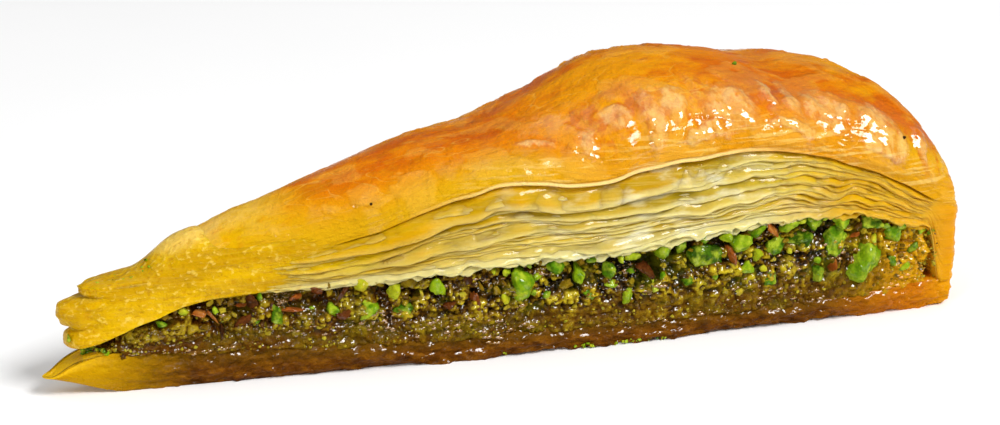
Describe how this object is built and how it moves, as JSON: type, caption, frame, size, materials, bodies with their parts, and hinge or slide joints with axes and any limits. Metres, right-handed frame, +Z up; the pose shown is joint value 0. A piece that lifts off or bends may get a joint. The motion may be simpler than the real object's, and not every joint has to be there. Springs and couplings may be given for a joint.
{
  "type": "baklava slice",
  "caption": "Long triangular slice of layered pastry with a puffed glazed crust, a chopped pistachio filling and a soaked base.",
  "frame": {"origin": "middle of the slice's bounding box, at the level that it rests on", "axes": "+X from the tip of the slice to its outer edge, -Y out of the front cut face, +Z up out of the crust"},
  "size_m": [0.1652, 0.0534, 0.0474],
  "materials": {
    "glazed_crust": "golden baked crust under a clear syrup glaze, browner on its crest",
    "pastry_sheets": "thin pale sheets, yellower and wetter towards the tip",
    "pistachio": "chopped green kernels with purple-brown skins in a moist paste",
    "soaked_base": "dark amber pastry soaked in syrup, wet and shiny"
  },
  "bodies": {
    "root": {"bottom_pastry": "soaked_base", "pistachio_filling": "pistachio", "top_pastry": "glazed_crust"}
  },
  "joints": []
}
